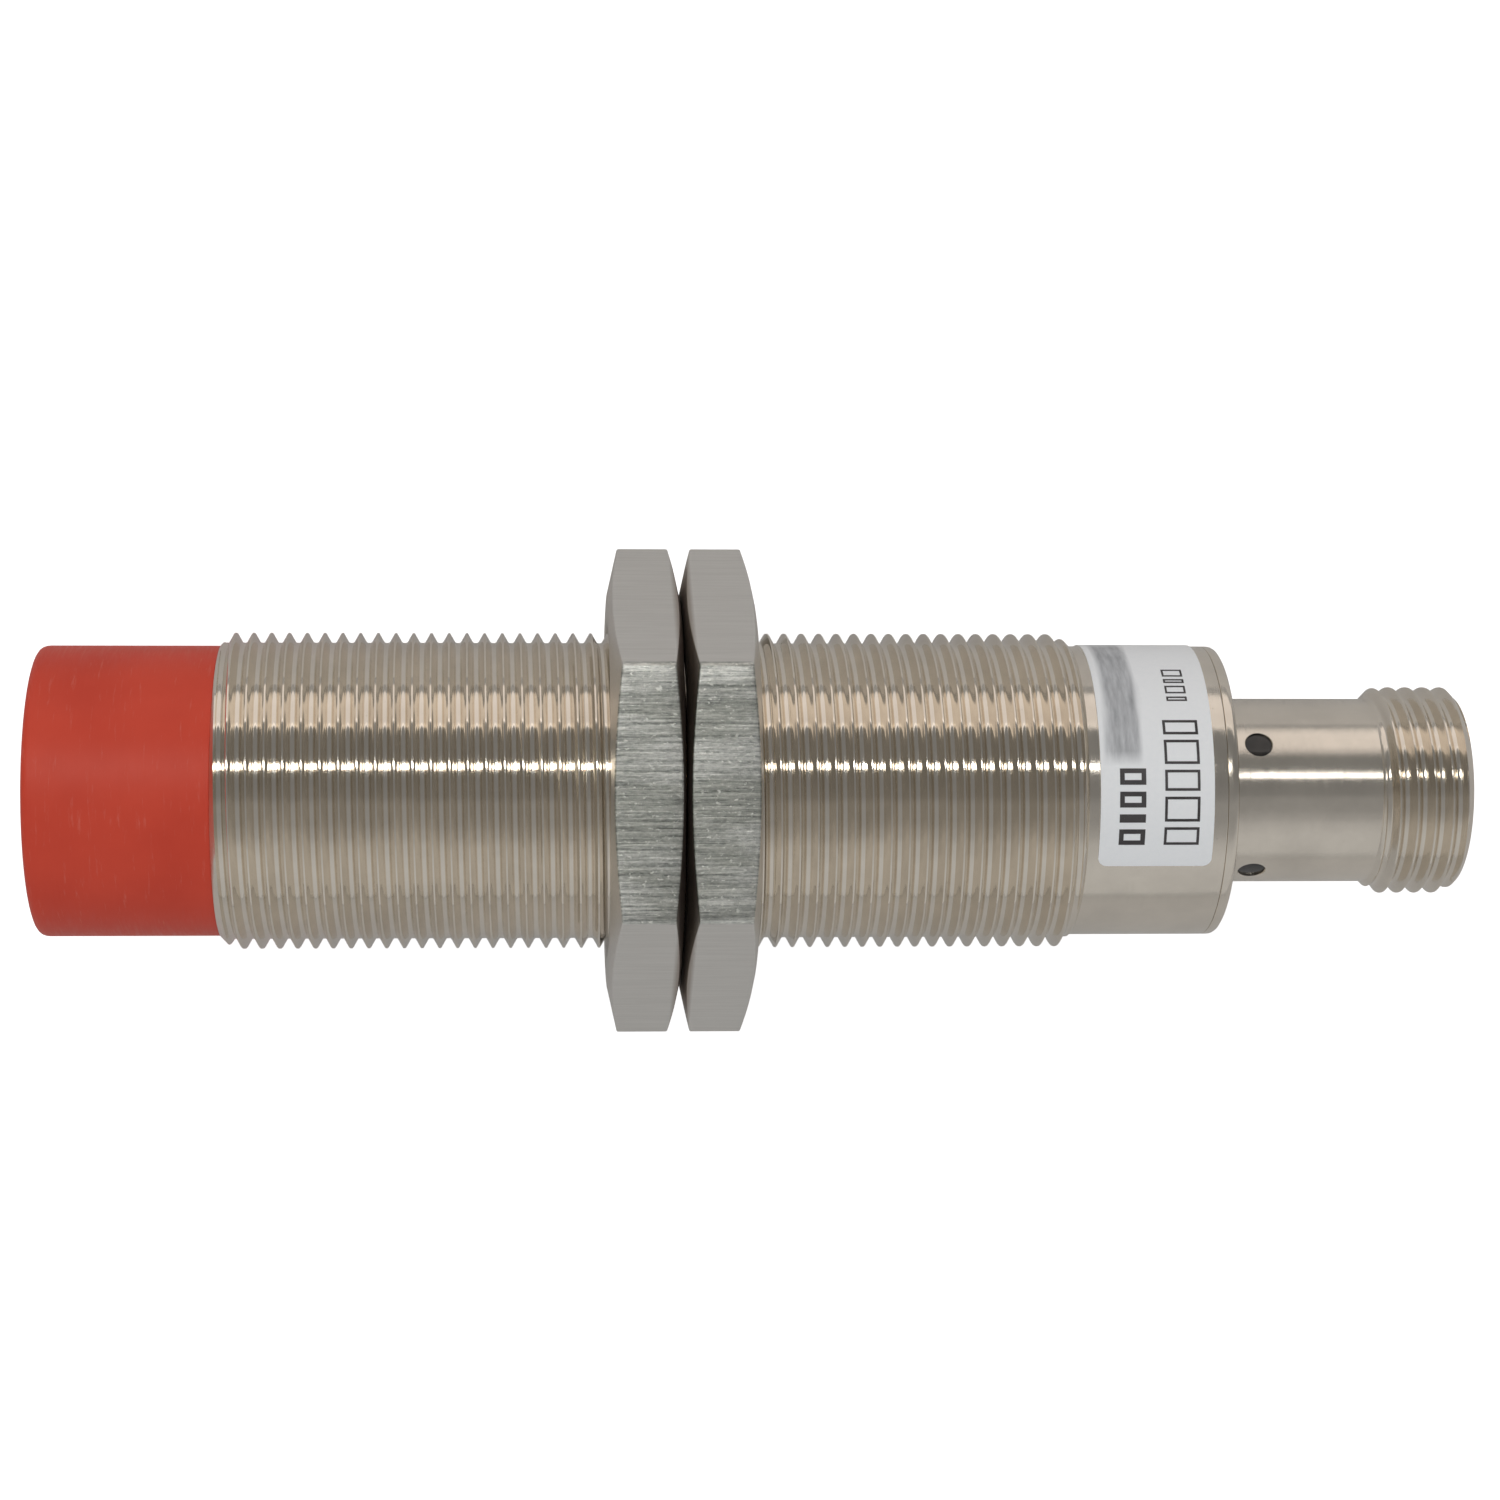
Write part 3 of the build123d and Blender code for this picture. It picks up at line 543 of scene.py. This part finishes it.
def nut_side(x0, direction, radius):
    """Half of the nut's outline at one angle, from its middle to the bore: (x, r) from one face."""
    slope = math.tan(math.radians(NUT_CHAMFER_DEGREES))
    drop = (radius - NUT_FACE_R) * slope
    edge = 0.10
    corner = Vector((drop, radius))
    on_side = Vector((drop + edge, radius))
    on_chamfer = corner + (Vector((0.0, NUT_FACE_R)) - corner).normalized() * edge
    points = [Vector((1.4, radius)), on_side]
    points += [on_side.lerp(corner, t).lerp(corner.lerp(on_chamfer, t), t) for t in (0.25, 0.5, 0.75)]
    points += [on_chamfer, corner.lerp(Vector((0.0, NUT_FACE_R)), 0.5)]
    points += [Vector((0.01, NUT_FACE_R + 0.05)), Vector((0.0, NUT_FACE_R - 0.05)), Vector((0.0, 10.3))]
    points += [Vector((0.0, NUT_RECESS_R)), Vector((0.02, NUT_RECESS_R - 0.05)), Vector((0.45, NUT_BORE_R))]
    return [(x0 + direction * p.x, p.y) for p in points]


def make_nut(name, start, body, node):
    corner_touch = 0.0134
    angles = []
    for side in range(6):
        middle = side * math.pi / 3
        angles += [middle + corner_touch * s for s in (-1.0, -0.6, -0.2, 0.2, 0.6, 1.0)]
        angles += [middle + math.pi / 3 * s for s in (0.06, 0.13, 0.2, 0.28, 0.36, 0.43, 0.5,
                                                      0.57, 0.64, 0.72, 0.8, 0.87, 0.94)]
    verts = []
    rows = 0
    for angle in angles:
        radius = hex_radius(angle)
        loop = nut_side(start, 1, radius)[::-1] + nut_side(start + NUT_THICKNESS, -1, radius)
        rows = len(loop)
        verts += [ring_point(x, r, angle) for x, r in loop]
    faces = []
    count = len(angles)
    for j in range(count):
        k = (j + 1) % count
        for i in range(rows):
            n = (i + 1) % rows
            faces.append((j * rows + i, j * rows + n, k * rows + n, k * rows + i))
    return make_object(name, verts, faces, nut_metal, body, (node,), "nickel_nut", sharp=32)


make_nut("lock_nut_front", NUT_FRONT_START, "front_nut", "nut_front")
make_nut("lock_nut_rear", NUT_REAR_START, "rear_nut", "nut_rear")

# ---------------------------------------------------------------- end bush
bush_outline = rounded([
    (BUSH_START, BUSH_BORE_R, 0), (BUSH_START, BUSH_R - 0.3, 0), (BUSH_START + 0.3, BUSH_R, 0),
    (BUSH_GROOVE[0], BUSH_R, 0), (BUSH_GROOVE[0], BUSH_GROOVE_R, 0),
    (BUSH_GROOVE[1], BUSH_GROOVE_R, 0), (BUSH_GROOVE[1], BUSH_R, 0),
    (BARREL_END, BUSH_R, 0), (BARREL_END, SMOOTH_R, 0.08), (NECK_START, SMOOTH_R, 0.35),
    (NECK_START, 5.5, 0), (NECK_START, BUSH_BORE_R, 0.05),
])
make_object("end_flange", *lathe(bush_outline), nickel, "sensor", ("end_bush",), "nickel_barrel")

# ---------------------------------------------------------------- connector shell
plug_thread = helix_strip(
    PLUG_CREST_R, PLUG_GROOVE_AT_Y,
    [(NECK_END, NECK_R), (NECK_END + PLUG_LEAD_IN, PLUG_CREST_R),
     (OVERALL - PLUG_END_CHAMFER, PLUG_CREST_R), (OVERALL, PLUG_CREST_R - PLUG_END_CHAMFER)],
)
shell_rest = lathe(
    [(OVERALL, PLUG_CREST_R - PLUG_END_CHAMFER), (OVERALL, SHELL_BORE_R), (OVERALL - 0.2, SOCKET_R)]
    + [(SOCKET_START, SOCKET_R), (SOCKET_START, SHELL_BORE_R), (BUSH_START, SHELL_BORE_R)]
    + [(x, NECK_R) for x in (BUSH_START, 66.0, 67.2, 69.6, 72.5, NECK_END)],
    closed=False,
)
shell = make_object(
    "plug_end", *join(plug_thread, shell_rest), nickel, "sensor", ("connector_shell",), "nickel_barrel"
)


def drill_windows(obj):
    """Cuts the four round window holes through the neck."""
    bm = bmesh.new()
    for degrees in WINDOW_ANGLES:
        turn = math.radians(90 - degrees)
        out = Vector((0, math.cos(turn), math.sin(turn)))
        across = Vector((0, -out.z, out.y))
        rings = []
        for depth in (4.2, 5.19, 5.6):
            flare = WINDOW_R + (0.35 if depth > 5.5 else 0.0)
            ring = []
            for s in range(COLUMNS_PER_WINDOW):
                a = 2 * math.pi * s / COLUMNS_PER_WINDOW
                spoke = (Vector((1, 0, 0)) * math.cos(a) + across * math.sin(a)) * flare
                ring.append(bm.verts.new((Vector((WINDOW_X, 0, 0)) + out * depth + spoke) * MM))
            rings.append(ring)
        for low, high in zip(rings, rings[1:]):
            for s in range(COLUMNS_PER_WINDOW):
                t = (s + 1) % COLUMNS_PER_WINDOW
                bm.faces.new((low[s], low[t], high[t], high[s]))
        bm.faces.new(rings[0][::-1])
        bm.faces.new(rings[-1])
    bmesh.ops.recalc_face_normals(bm, faces=bm.faces)
    mesh = bpy.data.meshes.new("window_drill")
    bm.to_mesh(mesh)
    bm.free()
    drill = bpy.data.objects.new("window_drill", mesh)
    bpy.context.scene.collection.objects.link(drill)
    cut = obj.modifiers.new("windows", "BOOLEAN")
    cut.operation = "DIFFERENCE"
    cut.solver = "EXACT"
    cut.object = drill
    bpy.context.view_layer.update()
    done = bpy.data.meshes.new_from_object(obj.evaluated_get(bpy.context.evaluated_depsgraph_get()))
    obj.modifiers.remove(cut)
    bm = bmesh.new()
    bm.from_mesh(done)
    bmesh.ops.remove_doubles(bm, verts=bm.verts, dist=1.0e-6)
    bmesh.ops.dissolve_degenerate(bm, edges=bm.edges, dist=1.0e-6)
    bm.to_mesh(done)
    bm.free()
    obj.data = done
    obj.data.set_sharp_from_angle(angle=math.radians(28))
    bpy.data.objects.remove(drill)


drill_windows(shell)


# ---------------------------------------------------------------- print on the label
def ink_patch(x0, x1, a0, a1):
    """A thin raised patch of ink, between two places along X and two angles from +Z towards +Y."""
    cells = max(1, round(abs(a1 - a0) / 2.5))
    verts, faces = [], []
    for s in range(cells + 1):
        angle = math.radians(90 - (a0 + (a1 - a0) * s / cells))
        for r in (LABEL_R - 0.004, LABEL_R + 0.008):
            verts += [ring_point(x0, r, angle), ring_point(x1, r, angle)]
    for s in range(cells):
        a = 4 * s
        faces += [(a, a + 1, a + 5, a + 4), (a + 2, a + 6, a + 7, a + 3)]
        faces += [(a, a + 4, a + 6, a + 2), (a + 1, a + 3, a + 7, a + 5)]
    end = 4 * cells
    faces += [(0, 2, 3, 1), (end, end + 1, end + 3, end + 2)]
    return verts, faces


def blank_word(x0, x1, start, widths, gap, stroke):
    """A row of empty boxes in place of a word: widths and gap in degrees, stroke in mm."""
    side = math.degrees(stroke / LABEL_R)
    parts = []
    for width in widths:
        end = start + width
        parts += [ink_patch(x0, x0 + stroke, start, end), ink_patch(x1 - stroke, x1, start, end)]
        low, high = x0 + stroke + INK_GAP, x1 - stroke - INK_GAP
        parts += [ink_patch(low, high, a, a + side) for a in (start, end - side)]
        start = end + gap
    return parts


print_parts = blank_word(59.85, 61.3, -20.5, (6.2, 3.2, 6.0, 6.2), 2.6, 0.26)
print_parts += blank_word(62.35, 64.3, -20.5, (7.0, 9.5, 8.0, 9.5, 6.0), 2.2, 0.15)
print_parts += blank_word(62.75, 63.9, 37.0, (2.2, 4.0, 2.2, 4.4), 1.6, 0.11)
make_object("label_print", *join(*print_parts), ink, "sensor", slot="label_film")

# ---------------------------------------------------------------- floor
FLOOR_Z = cad_box[0][2] - 0.00002


def make_floor(name, z, glow):
    """A wide pale sheet under the part, with a faint paper grain and an even glow."""
    mesh = bpy.data.meshes.new(name)
    mesh.from_pydata([(-4, -4, z), (4, -4, z), (4, 4, z), (-4, 4, z)], [], [(0, 1, 2, 3)])
    g = Graph(name + "_paper", Roughness=0.7)
    grain = g.noise(g.mm(), 0.05, 3.0, 0.5)
    g.set(Base_Color=g.mix(g.band(grain, 0.3, 0.7), (0.90, 0.90, 0.90), (0.92, 0.92, 0.92)))
    g.shader.inputs["Emission Color"].default_value = (1, 1, 1, 1)
    g.shader.inputs["Emission Strength"].default_value = glow
    mesh.materials.append(g.material)
    obj = bpy.data.objects.new(name, mesh)
    bpy.context.scene.collection.objects.link(obj)
    return obj


# the sheet that is seen is lit through from below, and the metal reflects a plain one under it
seen_floor = make_floor("floor_seen", FLOOR_Z, 0.72)
seen_floor.visible_glossy = False
seen_floor.visible_diffuse = False
seen_floor.visible_transmission = False
lit_floor = make_floor("floor_lit", FLOOR_Z - 0.0001, 0.0)
lit_floor.visible_camera = False

# ---------------------------------------------------------------- lights
MIDDLE = Vector((0.040, 0.0, 0.0))


def panel(name, degrees, distance, size, power, color, turn=0.0, along=0.0):
    """A soft panel that faces the part, of a size (along X, across) and shifted along X.

    In degrees, it is tilted from the zenith towards +Y and turned in its own plane.
    """
    data = bpy.data.lights.new(name, "AREA")
    data.shape = "RECTANGLE"
    data.size, data.size_y = size
    data.energy = power
    data.color = color
    light = bpy.data.objects.new(name, data)
    facing = Euler((-math.radians(degrees), 0, 0)).to_matrix()
    light.location = MIDDLE + facing @ Vector((0, 0, distance)) + Vector((along, 0, 0))
    light.rotation_euler = (facing @ Euler((0, 0, math.radians(turn))).to_matrix()).to_euler()
    bpy.context.scene.collection.objects.link(light)
    return light


# the strip ends short of the neck's reflection
panel("strip_light", 19.5, 0.75, (0.86, 0.042), 1.36, (1.0, 0.99, 0.96), turn=-1.5, along=-0.28)
panel("key_panel", 67, 0.75, (1.4, 0.43), 1.05, (1.0, 0.90, 0.84), turn=-1)
panel("key_edge", 52.5, 0.75, (1.4, 0.03), 0.06, (1.0, 0.95, 0.90), turn=-1)
sky_panel = panel("sky_panel", 0, 0.9, (1.6, 1.6), 2.8, (1.0, 1.0, 1.0))
sky_panel.visible_glossy = False

# the tent round the part: (degrees from the zenith towards +Y, brightness)
TENT = ((-90, 0.50), (-60, 0.52), (-46, 0.47), (-34, 0.36), (-24, 0.30), (-12, 0.29), (-3, 0.22), (10, 0.20),
        (40, 0.21), (60, 0.24), (80, 0.31), (95, 0.36))
world = bpy.data.worlds.new("studio")
bpy.context.scene.world = world
world.use_nodes = True
wt = world.node_tree
sky_split = wt.nodes.new("ShaderNodeSeparateXYZ")
sky_angle = wt.nodes.new("ShaderNodeMath")
sky_angle.operation = "ARCTAN2"
sky_place = wt.nodes.new("ShaderNodeMapRange")
sky_place.inputs["From Min"].default_value = -math.pi
sky_place.inputs["From Max"].default_value = math.pi
sky_ramp = wt.nodes.new("ShaderNodeValToRGB")
sky_ramp.color_ramp.interpolation = "EASE"
wt.links.new(wt.nodes.new("ShaderNodeTexCoord").outputs["Generated"], sky_split.inputs[0])
wt.links.new(sky_split.outputs[1], sky_angle.inputs[0])
wt.links.new(sky_split.outputs[2], sky_angle.inputs[1])
wt.links.new(sky_angle.outputs[0], sky_place.inputs["Value"])
wt.links.new(sky_place.outputs["Result"], sky_ramp.inputs[0])
wt.links.new(sky_ramp.outputs[0], wt.nodes["Background"].inputs[0])
stops = sky_ramp.color_ramp.elements
for stop, (degrees, level) in zip((stops[0], stops[1]), (TENT[0], TENT[-1])):
    stop.position = 0.5 + degrees / 360
    stop.color = (level, level, level, 1)
for degrees, level in TENT[1:-1]:
    stops.new(0.5 + degrees / 360).color = (level, level, level, 1)

scene = bpy.context.scene
scene.view_settings.view_transform = "Standard"
scene.view_settings.look = "None"
scene.view_settings.exposure = 0.0

# ---------------------------------------------------------------- camera
YAW = math.radians(3.0)
camera_data = bpy.data.cameras.new("camera")
camera_data.lens = 77.97
camera_data.sensor_width = 36.0
camera_data.clip_start = 0.005
camera_data.clip_end = 50.0
camera_data.shift_x = 0.0336
camera_data.shift_y = 0.0
camera = bpy.data.objects.new("camera", camera_data)
camera.location = (0.0275, 0.0023, 0.185)
camera.rotation_euler = (0.0, -YAW, 0.0)
scene.collection.objects.link(camera)
scene.camera = camera
